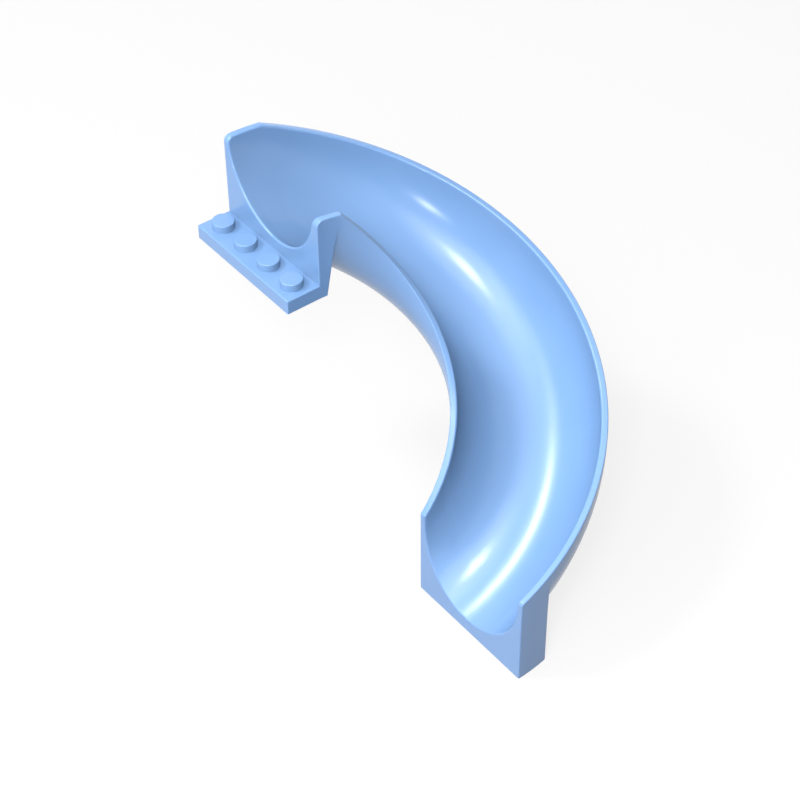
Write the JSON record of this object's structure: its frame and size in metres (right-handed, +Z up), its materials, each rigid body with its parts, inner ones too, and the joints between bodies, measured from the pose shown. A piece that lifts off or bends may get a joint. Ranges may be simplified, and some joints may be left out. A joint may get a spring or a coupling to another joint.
{
  "type": "curved slide",
  "caption": "Half-turn curved slide for a stud-and-pin toy building system, with a studded entry tab above and a foot under its exit.",
  "frame": {"origin": "bottom centre of the part's outline, on the floor under the exit foot", "axes": "+Z up; the stud row and the mouth of the exit face -Y; the entry is on the -X side and the exit on the +X side"},
  "size_m": [0.0958, 0.0558, 0.0799],
  "materials": {
    "abs_light_blue": "glossy moulded ABS"
  },
  "bodies": {
    "root": {"entry_tab": "abs_light_blue", "entry_headwall": "abs_light_blue", "upper_chute": "abs_light_blue", "middle_chute": "abs_light_blue", "lower_chute": "abs_light_blue", "exit_foot": "abs_light_blue", "stud_1": "abs_light_blue", "stud_2": "abs_light_blue", "stud_3": "abs_light_blue", "stud_4": "abs_light_blue", "tab_pin_1": "abs_light_blue", "tab_pin_2": "abs_light_blue", "tab_pin_3": "abs_light_blue"}
  },
  "joints": []
}
